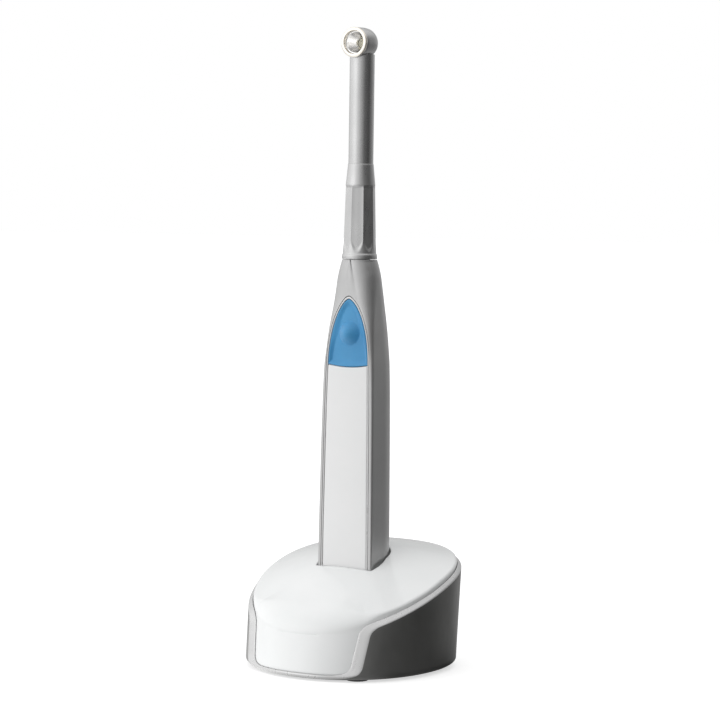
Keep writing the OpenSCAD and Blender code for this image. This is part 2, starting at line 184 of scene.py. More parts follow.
def tint(tree, factor, dark, light):
    node = tree.nodes.new("ShaderNodeMix")
    node.data_type = "RGBA"
    node.inputs[6].default_value = (*dark, 1)
    node.inputs[7].default_value = (*light, 1)
    tree.links.new(factor, node.inputs[0])
    return node.outputs[2]


def finish_material(name, dark, light, rough, metal=0.0, grain=6000, grain_depth=0.00001, coat=0.0,
                    coat_rough=0.05, stretch=(1, 1, 1), blotch=60, edge=0.0, sheen=0.0):
    """A finish with blotchy colour, uneven roughness, fine grain in the bump and, if asked, worn edges."""
    material, tree, shader, place = nodes_of(name)
    large = noise_on(tree, place, blotch, 5)
    fine = noise_on(tree, place, grain, 3, stretch)
    scuff = noise_on(tree, place, grain * 0.08, 8, (1, 1, 0.25))
    colour = tint(tree, spread(tree, large.outputs["Fac"], 0, 1), dark, light)
    if edge:
        worn = tree.nodes.new("ShaderNodeNewGeometry")
        edge_mask = tree.nodes.new("ShaderNodeMapRange")
        edge_mask.inputs["From Min"].default_value = 0.52
        edge_mask.inputs["From Max"].default_value = 0.62
        tree.links.new(worn.outputs["Pointiness"], edge_mask.inputs["Value"])
        strength = tree.nodes.new("ShaderNodeMath")
        strength.operation = "MULTIPLY"
        strength.inputs[1].default_value = edge
        tree.links.new(edge_mask.outputs["Result"], strength.inputs[0])
        lighter = tree.nodes.new("ShaderNodeMix")
        lighter.data_type = "RGBA"
        lighter.inputs[7].default_value = (*[min(1, c * 1.35 + 0.05) for c in light], 1)
        tree.links.new(strength.outputs[0], lighter.inputs[0])
        tree.links.new(colour, lighter.inputs[6])
        colour = lighter.outputs[2]
    tree.links.new(colour, shader.inputs["Base Color"])
    tree.links.new(spread(tree, scuff.outputs["Fac"], rough * 0.85, rough * 1.2), shader.inputs["Roughness"])
    bump = tree.nodes.new("ShaderNodeBump")
    bump.inputs["Distance"].default_value = grain_depth
    bump.inputs["Strength"].default_value = 0.6
    tree.links.new(fine.outputs["Fac"], bump.inputs["Height"])
    tree.links.new(bump.outputs["Normal"], shader.inputs["Normal"])
    shader.inputs["Metallic"].default_value = metal
    shader.inputs["Coat Weight"].default_value = coat
    shader.inputs["Coat Roughness"].default_value = coat_rough
    shader.inputs["Sheen Weight"].default_value = sheen
    return material


def glass_material():
    material, tree, shader, place = nodes_of("clear_glass")
    smear = noise_on(tree, place, 900, 6)
    tree.links.new(spread(tree, smear.outputs["Fac"], 0.01, 0.06), shader.inputs["Roughness"])
    shader.inputs["Base Color"].default_value = (0.97, 0.98, 1.0, 1)
    shader.inputs["Transmission Weight"].default_value = 1.0
    shader.inputs["IOR"].default_value = 1.46
    return material


MATERIALS = {
    "satin_silver": finish_material(
        "satin_silver", (0.43, 0.43, 0.43), (0.47, 0.47, 0.47),
        rough=0.34, metal=0.7, grain=9000, grain_depth=0.000012, coat=0.25, coat_rough=0.3, edge=0.4),
    "trim_silver": finish_material(
        "trim_silver", (0.62, 0.62, 0.62), (0.68, 0.68, 0.68),
        rough=0.3, metal=0.35, grain=9000, grain_depth=0.000008),
    "white_panel": finish_material(
        "white_panel", (0.8, 0.805, 0.805), (0.83, 0.83, 0.83),
        rough=0.32, metal=0, grain=3000, grain_depth=0.000005, coat=0.3, coat_rough=0.2),
    "blue_silicone": finish_material(
        "blue_silicone", (0.045, 0.27, 0.54), (0.06, 0.33, 0.62),
        rough=0.45, metal=0, grain=7000, grain_depth=0.000012, sheen=0.25),
    "white_cover": finish_material(
        "white_cover", (0.83, 0.845, 0.845), (0.86, 0.87, 0.87),
        rough=0.2, metal=0, grain=1500, grain_depth=0.000003, coat=0.6, coat_rough=0.06),
    "base_silver": finish_material(
        "base_silver", (0.2, 0.2, 0.195), (0.24, 0.24, 0.235),
        rough=0.36, metal=0.75, grain=9000, grain_depth=0.00001, coat=0.3, coat_rough=0.2),
    # A lighter copy of the base shell's silver for the rim chamfer band: a painted highlight where the
    # chamfer catches the light, on the same paint as the darker wall.
    "rim_highlight_silver": finish_material(
        "rim_highlight_silver", (0.56, 0.56, 0.56), (0.62, 0.62, 0.62),
        rough=0.3, metal=0.55, grain=9000, grain_depth=0.000008, coat=0.3, coat_rough=0.2),
    "neck_metal": finish_material(
        "neck_metal", (0.5, 0.5, 0.5), (0.56, 0.56, 0.56),
        rough=0.27, metal=0.95, grain=5000, grain_depth=0.000008, stretch=(1, 1, 0.06)),
    "collar_metal": finish_material(
        "collar_metal", (0.5, 0.5, 0.5), (0.56, 0.56, 0.56),
        rough=0.3, metal=0.9, grain=8000, grain_depth=0.00001),
    "nose_metal": finish_material(
        "nose_metal", (0.84, 0.79, 0.71), (0.9, 0.86, 0.79),
        rough=0.16, metal=0.85, grain=6000, grain_depth=0.000003),
    "mirror_metal": finish_material(
        "mirror_metal", (0.88, 0.86, 0.82), (0.92, 0.9, 0.87),
        rough=0.12, metal=1.0, grain=2000, grain_depth=0.000004),
    "dark_plastic": finish_material(
        "dark_plastic", (0.03, 0.03, 0.032), (0.045, 0.045, 0.047),
        rough=0.55, metal=0, grain=5000, grain_depth=0.00003),
    "cup_plastic": finish_material(
        "cup_plastic", (0.6, 0.61, 0.61), (0.66, 0.67, 0.67),
        rough=0.45, metal=0, grain=4000, grain_depth=0.00001),
    "black_plastic": finish_material(
        "black_plastic", (0.012, 0.012, 0.013), (0.02, 0.02, 0.022),
        rough=0.3, metal=0, grain=4000, grain_depth=0.00001),
    "board_green": finish_material(
        "board_green", (0.01, 0.09, 0.035), (0.015, 0.12, 0.05),
        rough=0.35, metal=0, grain=3000, grain_depth=0.00001),
    "cell_wrap": finish_material(
        "cell_wrap", (0.02, 0.14, 0.07), (0.03, 0.17, 0.09),
        rough=0.3, metal=0, grain=2500, grain_depth=0.00001, coat=0.4),
    "gold_contact": finish_material(
        "gold_contact", (0.72, 0.5, 0.2), (0.8, 0.58, 0.26),
        rough=0.22, metal=1.0, grain=6000, grain_depth=0.000004),
    "spring_steel": finish_material(
        "spring_steel", (0.45, 0.45, 0.46), (0.55, 0.55, 0.56),
        rough=0.3, metal=1.0, grain=5000, grain_depth=0.00001),
    "copper": finish_material(
        "copper", (0.55, 0.24, 0.12), (0.65, 0.3, 0.16),
        rough=0.35, metal=1.0, grain=5000, grain_depth=0.00001),
    "led_yellow": finish_material(
        "led_yellow", (0.8, 0.74, 0.5), (0.86, 0.8, 0.58),
        rough=0.4, metal=0, grain=9000, grain_depth=0.00001),
    "ceramic_white": finish_material(
        "ceramic_white", (0.72, 0.72, 0.69), (0.78, 0.78, 0.75),
        rough=0.5, metal=0, grain=6000, grain_depth=0.00001),
    "wire_red": finish_material(
        "wire_red", (0.35, 0.01, 0.008), (0.42, 0.02, 0.012),
        rough=0.4, metal=0, grain=5000, grain_depth=0.00001),
    "black_rubber": finish_material(
        "black_rubber", (0.012, 0.012, 0.012), (0.02, 0.02, 0.02),
        rough=0.7, metal=0, grain=4000, grain_depth=0.00003),
    "clear_glass": glass_material(),
}
SLOT_OF = {s["node"]: s["material_slot"] for s in frame["record"]["subparts"]}
for node_name, node in NODES.items():
    for holder in node.material_slots:
        holder.material = MATERIALS[SLOT_OF[node_name]]


# ---------------------------------------------------------------- handle surface
STATIONS = np.array([
    (14, 12, 7.9, 13.4, 1.4, 0.6), (43, 11.95, 7.9, 13.4, 1.4, 0.6), (70, 11.7, 7.8, 13.4, 1.4, 0.7),
    (100, 11.3, 7.6, 13.2, 1.4, 0.9), (113, 10.95, 7.45, 13, 1.35, 1.2), (118, 10.6, 7.35, 12.7, 1.3, 1.7),
    (126, 9.95, 7.2, 12, 1, 2.6), (137, 8.9, 6.95, 10.3, 0.5, 4.9), (145, 8.4, 6.9, 8.2, 0.2, 6.4),
    (149, 7.6, 6.8, 7.5, 0.1, 6.6), (152.3, 6.6, 6.6, 6.6, 0, 6.4)], float)
FRONT_BOW = 0.35
TRIM_MARGIN = 2.25
PAD_APEX = 137.5
TRIM_W = 0.95
HAIR = 0.2


def smooth_table(z, column):
    """A monotone cubic through the stations, so that the sections change without kinks."""
    x, y = STATIONS[:, 0], STATIONS[:, column]
    h = np.diff(x)
    d = np.diff(y) / h
    same_way = d[:-1] * d[1:] > 0
    inside = np.where(same_way, 2 * d[:-1] * d[1:] / (d[:-1] + d[1:] + 1e-12), 0)
    m = np.concatenate([[d[0]], inside, [d[-1]]])
    k = int(np.clip(np.searchsorted(x, z) - 1, 0, len(h) - 1))
    t = np.clip((z - x[k]) / h[k], 0, 1)
    return ((2 * t**3 - 3 * t**2 + 1) * y[k] + (t**3 - 2 * t**2 + t) * h[k] * m[k]
            + (-2 * t**3 + 3 * t**2) * y[k + 1] + (t**3 - t**2) * h[k] * m[k + 1])


def half_section(z, grow=0.0):
    """Right half of the D section, from the middle of the front to the middle of the back."""
    w, f, b = (smooth_table(z, k) + grow for k in (1, 2, 3))
    f -= FRONT_BOW
    yc, rc = smooth_table(z, 4), max(0.3, smooth_table(z, 5) + grow)
    flat = w - rc
    x = np.linspace(0, 1, 40)
    front = np.stack([flat * x, -f - FRONT_BOW * (1 - x**2)], 1)
    a = np.radians(np.linspace(-90, 0, 60)[1:])
    corner = np.stack([flat + rc * np.cos(a), -f + rc + rc * np.sin(a)], 1)
    a = np.radians(np.linspace(0, 90, 90)[1:])
    side = max(yc, -f + rc)
    back = np.stack([w * np.cos(a), side + (b - side) * np.sin(a)], 1)
    return np.concatenate([front, corner, back])


def front_y(x, z, grow=0.0):
    """Depth of the handle's front surface at a point seen from the front."""
    half = half_section(z, grow)
    top = int(np.argmax(half[:, 0])) + 1
    return float(np.interp(abs(x), half[:top, 0], half[:top, 1]))


def edge_to_back(z, x_edge, count, grow=0.0):
    """Points from x_edge on the front round to the back, packed where the section turns."""
    half = half_section(z, grow)
    top = int(np.argmax(half[:, 0])) + 1
    i = int(np.searchsorted(half[:top, 0], x_edge))
    start = [x_edge, np.interp(x_edge, half[:top, 0], half[:top, 1])]
    line = np.concatenate([[start], half[i + 1 if x_edge > 0 else 1:]])
    step = np.diff(line, axis=0)
    turn = np.abs(np.diff(np.unwrap(np.arctan2(step[:, 1], step[:, 0])), append=0))
    turn[-1] = 0
    weight = np.concatenate([[0], np.cumsum(np.linalg.norm(step, axis=1) + 2.5 * turn)])
    want = np.linspace(0, weight[-1], count)
    return np.stack([np.interp(want, weight, line[:, k]) for k in (0, 1)], 1)


def outline_half(z, m):
    """Half width of the front outline grown by m at height z: straight flanks, then a pointed arch."""
    if z <= PANEL_TOP:
        return smooth_table(z, 1) - TRIM_MARGIN + m
    t = (z - PANEL_TOP) / (PAD_APEX + 1.5 * m - PANEL_TOP)
    return (smooth_table(PANEL_TOP, 1) - TRIM_MARGIN + m) * max(0.0, 1 - max(t, 0)**2.05)**0.63


def outline_path(m, low, count):
    """The right half of that outline as points (x, z) evenly spaced, from low up to the apex."""
    apex = PAD_APEX + 1.5 * m
    arch = PANEL_TOP + (apex - PANEL_TOP) * np.sin(np.linspace(0, math.pi / 2, 200))
    z = np.concatenate([np.linspace(low, PANEL_TOP, 100)[:-1], arch])
    return resample(np.array([(outline_half(v, m), v) for v in z]), count)


# ---------------------------------------------------------------- handle pieces
def build_handle_shell():
    apex = PAD_APEX + 1.5 * TRIM_W
    levels = np.unique(np.concatenate([
        np.linspace(SHELL_Z, PANEL_TOP, 40),
        [v[1] for v in outline_path(TRIM_W, PANEL_TOP - 1, 60)],
        np.linspace(apex, SEAM_Z - 0.35, 22)]).round(4))
    count, wall = 46, 1.4
    rows = []
    for z in levels:
        edge = outline_half(z, TRIM_W) if z < apex else 0.0
        outer = edge_to_back(z, edge, count)
        inner = edge_to_back(z, edge, count, -wall)
        loop = np.concatenate([outer, outer[-2::-1] * [-1, 1], inner * [-1, 1], inner[-2::-1]])
        rows.append(np.column_stack([loop, np.full(len(loop), z)]))
    top = rows[-1]
    lip = []
    for drop, out in ((0.22, 0.0), (0.09, 0.05), (0.0, 0.2)):
        ring = top.copy()
        ring[:, 2] = SEAM_Z - drop
        scale = 1 - out / np.maximum(np.linalg.norm(ring[:, :2], axis=1), 0.1)
        outer_part = np.arange(len(ring)) < 2 * count - 1
        ring[:, :2] *= np.where(outer_part, scale, 1)[:, None]
        lip.append(ring)
    rows += lip
    n = len(rows[0])
    faces = grid_faces(len(rows), n)
    split = 2 * count - 2
    keep = []
    for f in faces:
        row, col = divmod(f[0], n)
        above = row >= np.searchsorted(levels, apex)
        if above and col in (split, n - 1):
            continue
        keep.append(f)
    half = 2 * count - 1
    for base in (0, (len(rows) - 1) * n):
        for j in range(half - 1):
            keep.append((base + j, base + j + 1, base + n - 2 - j, base + n - 1 - j))
    piece = new_object("handle_body", np.concatenate(rows), keep, MATERIALS["satin_silver"], 35, "handpiece")
    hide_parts("handle_shell")


def ribbon(name, inner_m, outer_m, height, depth, material, count=150):
    """A strip with rounded shoulders that follows the front outline between two margins."""
    span = outer_m - inner_m
    across = [(0.0, depth), (0.0, -height + 0.14), (0.05, -height + 0.05), (0.16, -height)]
    across += [(0.5 * span, -height - 0.03)]
    across += [(span - 0.16, -height), (span - 0.05, -height + 0.05), (span, -height + 0.14), (span, depth)]
    rows = []
    paths = [outline_path(inner_m + a, SHELL_Z, count) for a, _ in across]
    for i in range(count):
        row = []
        for (a, d), path in zip(across, paths):
            x, z = path[i]
            row.append((x, front_y(x, z) + d, z))
        rows.append(row)
    rows = np.array(rows)
    mirrored = rows[-2::-1] * np.array([-1, 1, 1])
    rows = np.concatenate([rows, mirrored])
    return grid_object(name, rows, material, wrap_columns=True, caps=True, sharp=50, body="handpiece")


def build_trim():
    strip = ribbon("panel_trim", HAIR, TRIM_W - HAIR, 0.02, 0.75, MATERIALS["trim_silver"])
    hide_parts("panel_frame")
    # A black strip 0.75 mm behind the front closes the hairline gaps on both sides of the trim so that they
    # read dark: painted shade in the gaps.
    gap_shade = ribbon("gap_shade_strip", -0.5, TRIM_W + 0.5, -0.75, 1.15, MATERIALS["black_rubber"], 100)


def split_line(x):
    """The curved line between the white panel and the blue pad."""
    w = outline_half(PANEL_TOP, 0)
    return PANEL_TOP + 0.35 - 0.75 * (1 - (x / w)**2)


def build_panel():
    across = np.linspace(-1, 1, 41)
    near_edge = np.array([0.004, 0.012, 0.03])
    across = np.unique(np.concatenate([-1 + near_edge, across, 1 - near_edge[::-1]]))
    low = SHELL_Z + 0.1
    near_top = np.array([2, 1.2, 0.8, 0.5, 0.32, 0.18, 0.08, 0.03, 0])
    levels = np.concatenate([np.linspace(low, PANEL_TOP - 3, 60), PANEL_TOP - near_top])
    rows = []
    gap = 0.12
    for z in levels:
        share = (z - low) / (PANEL_TOP - low)
        row = []
        for t in across:
            w = outline_half(min(z, PANEL_TOP), 0)
            x = t * w
            height = low + (split_line(x) - gap - low) * share
            side = (1 - abs(t)) * w
            top = (split_line(x) - gap) - height
            fall = 0.3 * (1 - min(1, side / 0.3))**2 + 0.35 * (1 - min(1, top / 0.45))**2
            row.append((x, front_y(x, height) + fall, height))
        rows.append(row)
    outer = np.array(rows)
    inner = outer + np.array([0, 1.3, 0])
    n, m = outer.shape[:2]
    points = np.concatenate([outer.reshape(-1, 3), inner.reshape(-1, 3)])
    faces = grid_faces(n, m, wrap_columns=False)
    faces += [tuple(v + n * m for v in reversed(f)) for f in grid_faces(n, m, wrap_columns=False)]
    rim = [(0, j) for j in range(m)] + [(i, m - 1) for i in range(1, n)]
    rim += [(n - 1, j) for j in range(m - 2, -1, -1)] + [(i, 0) for i in range(n - 2, 0, -1)]
    index = [i * m + j for i, j in rim]
    for a, b in zip(index, index[1:] + index[:1]):
        faces.append((a, b, b + n * m, a + n * m))
    piece = new_object("white_front_panel", points, faces, MATERIALS["white_panel"], 40, "handpiece")
    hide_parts("front_panel")


DOME_R, DOME_H = 4.6, 3.0
DISH_DEPTH, DISH_SLOPE_W = 1.0, 2.6
SKIN_ROLL_W = 0.35


def build_button_skin():
    """One soft skin: a shallow dished pad with the button dome rising out of it."""
    right = outline_path(0, PANEL_TOP - 0.4, 120)
    right = np.array([(x, max(z, split_line(x) + 0.1)) for x, z in right])
    w = right[0][0]
    bottom = np.array([(x, split_line(x) + 0.1) for x in np.linspace(-w, w, 60)])
    border = np.concatenate([right, (right * [-1, 1])[-2::-1], bottom[1:-1]])
    middle_point = np.array([0.0, BUTTON_Z])
    shares = np.concatenate([np.linspace(0.0, 0.86, 44)[1:], [0.9, 0.93, 0.955, 0.975, 0.988, 0.996, 1.0]])
    rings = []
    for s in shares:
        ring = []
        for p in border:
            q = middle_point + (p - middle_point) * s
            reach = np.linalg.norm(p - middle_point)
            r = reach * s
            to_edge = reach * (1 - s)
            well = DISH_DEPTH * ramp(to_edge / DISH_SLOPE_W)
            bulge = DOME_H * (1 - (r / DOME_R)**2)**1.25 if r < DOME_R else 0.0
            roll = 0.3 * (1 - min(1, to_edge / SKIN_ROLL_W))**2
            ring.append((q[0], front_y(q[0], q[1]) + well - bulge + roll, q[1]))
        rings.append(ring)
    rings = np.array(rings)
    back = rings[-1] + np.array([0, 0.9, 0])
    rings = np.concatenate([rings, [back]])
    n, m = rings.shape[:2]
    centre = (0.0, front_y(0, BUTTON_Z) + DISH_DEPTH - DOME_H, BUTTON_Z)
    points = np.concatenate([rings.reshape(-1, 3), [centre, (0, front_y(0, BUTTON_Z) + 1.2, BUTTON_Z)]])
    faces = grid_faces(n, m)
    faces += [(n * m, j, (j + 1) % m) for j in range(m)]
    faces += [(n * m + 1, (n - 1) * m + (j + 1) % m, (n - 1) * m + j) for j in range(m)]
    piece = new_object("button_skin", points, faces, MATERIALS["blue_silicone"], 60)
    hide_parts("button_pad", "button_dome")
    base_y = (AXIS_Y + front_y(0, BUTTON_Z) + DISH_DEPTH) * MM
    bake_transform(piece)


def build_collar():
    flute_low, flute_high = COLLAR_LOW + 2.2, 180.0
    heights = np.unique(np.concatenate([
        COLLAR_LOW + np.array([0, 0.05, 0.15, 0.3, 0.6, 0.9, 1.2, 1.5, 1.8, 2.2]),
        np.linspace(flute_low, flute_low + 6, 30), np.linspace(flute_low + 6, flute_high - 2, 24),
        np.linspace(flute_high - 2, flute_high + 1, 16), np.linspace(flute_high + 1, COLLAR_TOP - 0.25, 10),
        COLLAR_TOP - np.array([0.25, 0.12, 0.04, 0.0])]))
    steps = 384
    turn = np.linspace(0, 2 * math.pi, steps, endpoint=False)
    phase = (np.degrees(turn) + 90) % 45 / 45 - 0.5
    rows = []
    for h in heights:
        up = h - COLLAR_LOW
        outside = np.interp(h, [COLLAR_LOW, COLLAR_LOW + 1.4, COLLAR_LOW + 2.2, 180, 184, COLLAR_TOP],
                            [6.6, 6.6, 6.25, 5.55, 5.15, 4.78])
        if up < 0.3:
            outside -= 0.2 * (1 - up / 0.3)**2
        if h > COLLAR_TOP - 0.25:
            outside -= 0.1 * ((h - COLLAR_TOP + 0.25) / 0.25)**2
        # each flute is a shallow scoop with a curved foot, and it stops short at the top
        foot = flute_low + 3.2 * (2 * np.abs(phase))**2
        depth = 0.46 * ramp((h - foot) / 2.4) * ramp((flute_high + 0.2 - h) / 1.1)
        scoop = 1 - (2 * np.abs(phase))**2.4
        r = outside - depth * scoop
        rows.append(np.column_stack([r * np.sin(turn), -r * np.cos(turn), np.full(steps, h)]))
    bore = []
    for r, h in ((4.72, COLLAR_TOP), (4.3, COLLAR_TOP - 0.6), (4.3, COLLAR_LOW + 20), (4.1, COLLAR_LOW), ):
        bore.append(np.column_stack([r * np.sin(turn), -r * np.cos(turn), np.full(steps, h)]))
    grid = np.concatenate([rows, bore])
    metal = MATERIALS["collar_metal"]
    piece = grid_object("fluted_collar", grid, metal, wrap_rows=True, sharp=32, body="head")
    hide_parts("neck_collar")


def build_head():
    back = [(5.75 * math.cos(a), -5.75 * math.sin(a)) for a in np.radians(np.linspace(12, 89.9, 40))]
    front = [(4.95, RING_FRONT - 1.25), (5.35, RING_FRONT - 1.2), (5.5, RING_FRONT - 1.28),
             (5.58, RING_FRONT - 1.5), (5.66, 3.2), (5.72, 1.8), (5.76, 0.4)]
    inner = [(0.02, -5.0), (4.2, -2.6), (4.85, 0), (4.95, 3.0)]
    piece = revolve("head_cap", front + back + inner, MATERIALS["neck_metal"], (0, 0, HEAD_Z), 128,
                    sharp=35, body="head")
    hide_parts("head_housing")
    f = RING_FRONT
    ring = [(4.25, f - 2.4), (4.25, f - 0.28), (4.29, f - 0.1), (4.4, f - 0.01), (4.6, f + 0.03),
            (5.1, f), (5.4, f - 0.06), (5.55, f - 0.2), (5.6, f - 0.4), (5.6, f - 0.95),
            (5.54, f - 1.1), (5.4, f - 1.16),
            (4.88, f - 1.16), (4.88, f - 2.4)]
    metal = MATERIALS["nose_metal"]
    bezel = revolve("nose_bezel", ring, metal, (0, 0, HEAD_Z), 128, sharp=40, body="head")
    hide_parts("nose_ring")


# ---------------------------------------------------------------- charging base
HALF_W, FRONT_L, REAR_L = 38.1, 43.3, 34.2
N_FRONT, N_REAR = 2.15, 2.3
DRAFT, LEAN = 0.042, 0.18
SHOULDER = np.array([-31.1, 20.2])
RIM_FOOT = np.array([-35.1, 2.5])
RIM_SLOPE, RIM_BEND = 0.468, 0.002
CROWN, CREST_RISE, CREST_R = 8.0, 3.4, 8.5
FOOT_TOP, FOOT_W = 3.2, 2.4
SHELL_IN, RIM_IN, COVER_IN = 3.6, 1.5, 1.68
COUNTS = (90, 60, 44)


def plan(a, z, inset):
    c, s = math.cos(a), math.sin(a)
    n = N_FRONT if s < 0 else N_REAR
    w = HALF_W + DRAFT * z - inset
    l = (FRONT_L - LEAN * z if s < 0 else REAR_L + DRAFT * z) - inset
    return np.array([math.copysign(w * abs(c)**(2 / n), c), math.copysign(l * abs(s)**(2 / n), s)])


def foot_inset(z):
    return FOOT_W * ((FOOT_TOP - max(z, FOOT_H)) / (FOOT_TOP - FOOT_H))**2 if z < FOOT_TOP else 0.0


def rim_z(y):
    return SHOULDER[1] + RIM_SLOPE * (y - SHOULDER[0]) - RIM_BEND * (y - SHOULDER[0])**2


def fillet(corner, before, after, radius):
    """Arc that rounds a corner between two directions."""
    turn = math.acos(float(np.clip(before @ after, -1, 1)))
    side = np.array([-before[1], before[0]])
    side *= math.copysign(1, side @ after)
    start = corner - before * radius * math.tan(turn / 2)
    centre = start + side * radius
    return [centre + radius * (math.sin(q) * before - math.cos(q) * side) for q in np.linspace(0, turn, 40)]


def rim_line(offset):
    """Side view of the rim from rear to front, moved down and outwards by offset."""
    slope = np.array([-1.0, -RIM_SLOPE]) / math.hypot(1, RIM_SLOPE)
    steep = (RIM_FOOT - SHOULDER) / np.linalg.norm(RIM_FOOT - SHOULDER)
    shoulder = fillet(SHOULDER, slope, steep, 7.0)
    foot = fillet(RIM_FOOT, steep, np.array([-1.0, 0.0]), 4.5)
    rear = [np.array([y, rim_z(y)]) for y in np.linspace(60, shoulder[0][0] + 0.3, 120)]
    steep_part = [shoulder[-1] + (foot[0] - shoulder[-1]) * t for t in np.linspace(0, 1, 30)[1:-1]]
    front = [np.array([y, RIM_FOOT[1]]) for y in np.linspace(foot[-1][0] - 0.3, -60, 60)]
    line = np.array(rear + shoulder + steep_part + foot + front)
    step = np.gradient(line, axis=0)
    step /= np.linalg.norm(step, axis=1)[:, None]
    down = np.stack([-step[:, 1], step[:, 0]], 1)
    return line + down * offset, len(rear) + 20, len(rear) + 40 + len(steep_part) + 20


def wall_x(y, z, inset):
    inset = inset + foot_inset(z)
    n = N_FRONT if y < 0 else N_REAR
    w = HALF_W + DRAFT * z - inset
    l = (FRONT_L - LEAN * z if y < 0 else REAR_L + DRAFT * z) - inset
    return w * max(0.0, 1 - min(1, abs(y) / l)**n)**(1 / n)


def rim_curve(inset, offset):
    """Right half of the rim on the wall, rear middle to front middle, as rows (x, y, z, angle)."""
    line, shoulder_i, foot_i = rim_line(offset)
    order = np.argsort(line[:, 0])

    def height(y):
        return float(np.interp(y, line[order, 0], line[order, 1]))

    def at_angle(a):
        z = 20.0 if a > -1 else RIM_FOOT[1]
        for _ in range(12):
            z = height(plan(a, z, inset + foot_inset(z))[1])
        x, y = plan(a, z, inset + foot_inset(z))
        return (x, y, z)

    rear = [at_angle(a) for a in np.radians(np.linspace(90, -40, 240))]
    front = [at_angle(a) for a in np.radians(np.linspace(-68, -90, 80))]
    between = line[(line[:, 0] < rear[-1][1] - 0.05) & (line[:, 0] > front[0][1] + 0.05)]
    centre = [(wall_x(y, z, inset), y, z) for y, z in between]
    whole = np.array(rear + centre + front)
    shoulder_y, foot_y = line[shoulder_i][0], line[foot_i][0]
    i = len(rear) + int(np.sum(between[:, 0] > shoulder_y))
    j = len(rear) + int(np.sum(between[:, 0] > foot_y))
    parts = [resample(whole[:i + 1], COUNTS[0], False), resample(whole[i:j + 1], COUNTS[1], False),
             resample(whole[j:], COUNTS[2])]
    curve = np.concatenate(parts)
    angles = []
    for x, y, z in curve:
        inner = inset + foot_inset(z)
        n = N_FRONT if y < 0 else N_REAR
        w = HALF_W + DRAFT * z - inner
        l = (FRONT_L - LEAN * z if y < 0 else REAR_L + DRAFT * z) - inner
        angles.append(math.atan2(math.copysign(abs(y / l)**(n / 2), y), abs(x / w)**(n / 2)))
    return np.column_stack([curve, angles])


def whole_ring(half):
    """Right half to the closed ring: the mirrored left half runs back from front to rear."""
    left = half[-2:0:-1] * np.array([-1, 1, 1])
    return np.concatenate([half, left])


def fan(at_shoulder, at_foot):
    """How far each column's angle spreads, so that the columns under the steep rim don't bunch."""
    first = at_shoulder * ramp(np.linspace(0, 1, COUNTS[0], endpoint=False))**2
    second = at_shoulder + (at_foot - at_shoulder) * np.linspace(0, 1, COUNTS[1], endpoint=False)
    third = at_foot * (1 - ramp(np.linspace(0, 1, COUNTS[2])))
    return np.radians(np.concatenate([first, second, third]))


def build_base_shell():
    edge = [(SHELL_IN, 0.9), (RIM_IN + 0.02, 0.9), (RIM_IN, 0.1), (RIM_IN - 0.04, 0.02), (RIM_IN - 0.14, 0.0),
            (RIM_IN - 0.3, 0.06), (1.02, 0.28), (0.76, 0.5), (0.5, 0.74), (0.26, 1.0), (0.11, 1.2),
            (0.03, 1.38)]
    curves = [rim_curve(i, o) for i, o in edge]
    top = rim_curve(0.0, 1.5)
    spread_out = fan(7.0, 0.0)
    rows = [c[:, :3] for c in curves]
    shares = 1 - (1 - np.linspace(0, 1, 34))**2
    for t in shares:
        row = []
        for (x, y, z, a), extra in zip(top, spread_out):
            height = z + (FOOT_H - z) * t
            angle = a + extra * t
            p = plan(angle, height, foot_inset(height))
            row.append((p[0], p[1], height))
        rows.append(np.array(row))
    for inset, height in ((SHELL_IN, FOOT_H), (SHELL_IN, FOOT_H + 1.5)):
        row = [(*plan(a + extra, height, inset), height) for (x, y, z, a), extra in zip(top, spread_out)]
        rows.append(np.array(row))
    grid = np.array([whole_ring(r) for r in rows])
    piece = grid_object("base_body", grid, MATERIALS["base_silver"], wrap_rows=True, sharp=38, body="charger")
    # The chamfer band faces between rows 3 and 12 get the lighter silver as a painted highlight; the rest of
    # the shell keeps the darker silver.
    piece.data.materials.append(MATERIALS["rim_highlight_silver"])
    highlight_band = rim_centres(grid[3:13])
    for polygon in piece.data.polygons:
        _, _, distance = highlight_band.find(polygon.center)
        if distance < 0.05 * MM:
            polygon.material_index = 1
    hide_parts("base_shell")
    cut_round_hole(piece, (0, JACK_REAR, JACK_Z), 4.62)


def rim_centres(rows):
    """Centres of the faces between these rows, for a nearest-point search."""
    following = np.roll(rows, -1, axis=1)
    centres = (rows[:-1] + rows[1:] + following[:-1] + following[1:]) / 4 + np.array([0, AXIS_Y, 0])
    centres = centres.reshape(-1, 3) * MM
    tree = KDTree(len(centres))
    for i, centre in enumerate(centres):
        tree.insert(centre, i)
    tree.balance()
    return tree


def cut_round_hole(piece, centre, radius):
    """Drills a hole along Y through the rear wall."""
    profile = [(0.01, -12), (radius, -12), (radius, 6), (0.01, 6)]
    cutter = revolve("jack_cutter", profile, MATERIALS["base_silver"], centre, 64)
    cut = piece.modifiers.new("hole", "BOOLEAN")
    cut.operation = "DIFFERENCE"
    cut.solver = "EXACT"
    cut.object = cutter
    bpy.context.view_layer.objects.active = piece
    bpy.context.view_layer.update()
    shown = bpy.context.evaluated_depsgraph_get()
    mesh = bpy.data.meshes.new_from_object(piece.evaluated_get(shown))
    piece.modifiers.clear()
    piece.data = mesh
    bpy.data.objects.remove(cutter)


def edge_y(a):
    return plan(a, SHOULDER[1], 0)[1]


EDGE_FRONT = edge_y(-math.pi / 2)


def crest_z(y):
    share = min(1.0, max(0.0, (SHOULDER[0] - y) / (SHOULDER[0] - EDGE_FRONT)))
    return SHOULDER[1] + 1.0 + CREST_RISE * math.sin(math.pi / 2 * share)


def edge_z(a):
    p, q = rim_z(edge_y(a)) + 1.0, crest_z(edge_y(a))
    return (p + q + math.sqrt((p - q)**2 + 4.0**2)) / 2


